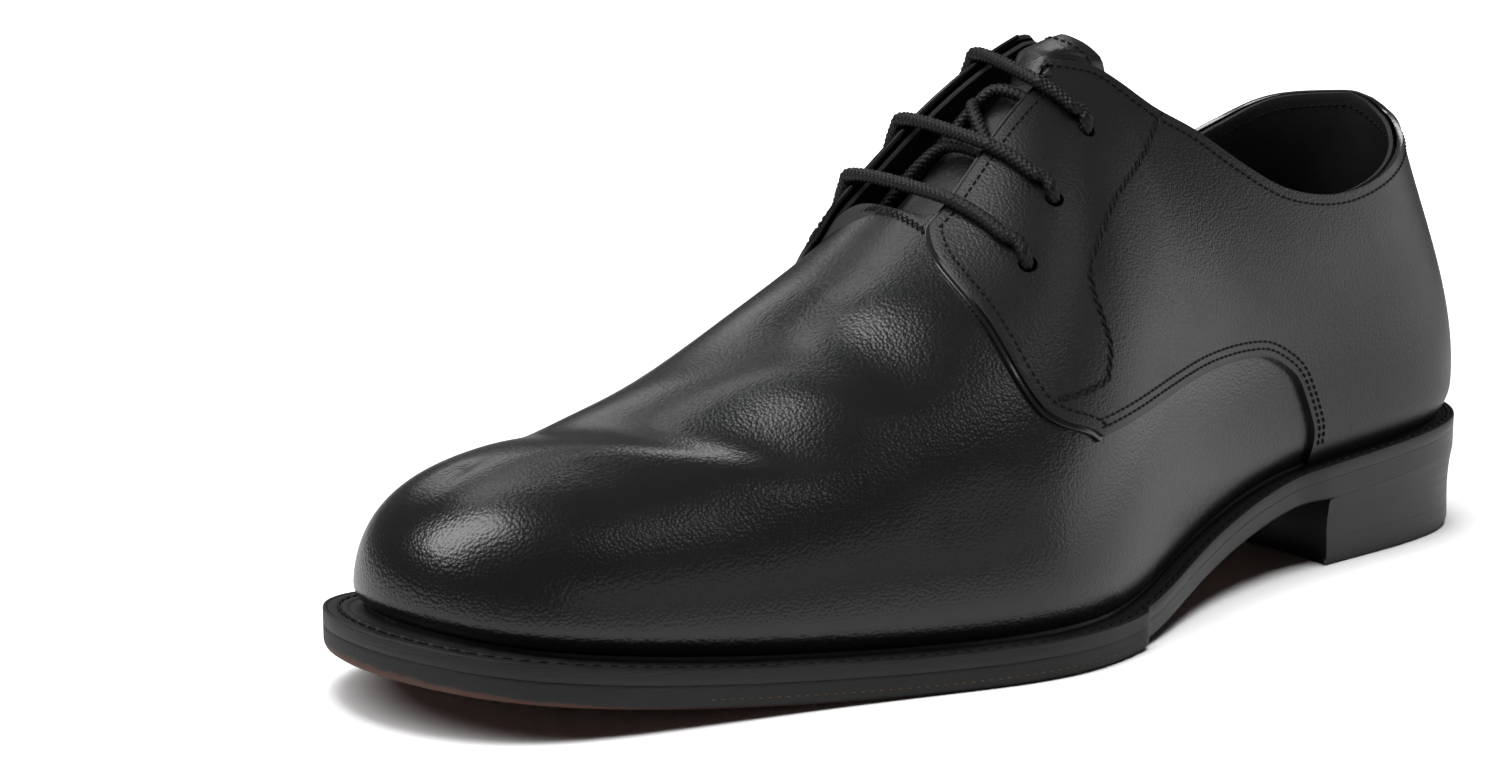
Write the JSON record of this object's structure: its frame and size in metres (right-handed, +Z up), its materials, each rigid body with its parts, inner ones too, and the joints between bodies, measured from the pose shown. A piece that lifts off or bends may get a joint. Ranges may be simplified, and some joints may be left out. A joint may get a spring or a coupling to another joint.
{
  "type": "derby shoe",
  "caption": "Left plain-toe derby shoe in black leather: hollow upper with open lacing, tongue, welted leather sole and stacked heel.",
  "frame": {"origin": "middle of the bounding box in plan, on the floor that the heel and the forefoot stand on", "axes": "+Y towards the heel along the shoe, so the toe points along -Y; +X towards the outer (lateral) side; +Z up"},
  "size_m": [0.1058, 0.2962, 0.1194],
  "materials": {
    "upper_leather": "smooth black leather with a fine grain, satin gloss",
    "lining": "matte black lining leather",
    "sole_leather": "charcoal sole edge, dyed and worn",
    "heel_leather": "stacked leather, dyed black and burnished",
    "heel_rubber": "matte black",
    "lace": "waxed round braided cord"
  },
  "bodies": {
    "root": {"upper": "upper_leather", "tongue": "upper_leather", "lace": "lace", "insole": "lining", "welt": "sole_leather", "outsole": "sole_leather", "heel_stack": "heel_leather", "heel_top_piece": "heel_rubber"}
  },
  "joints": []
}
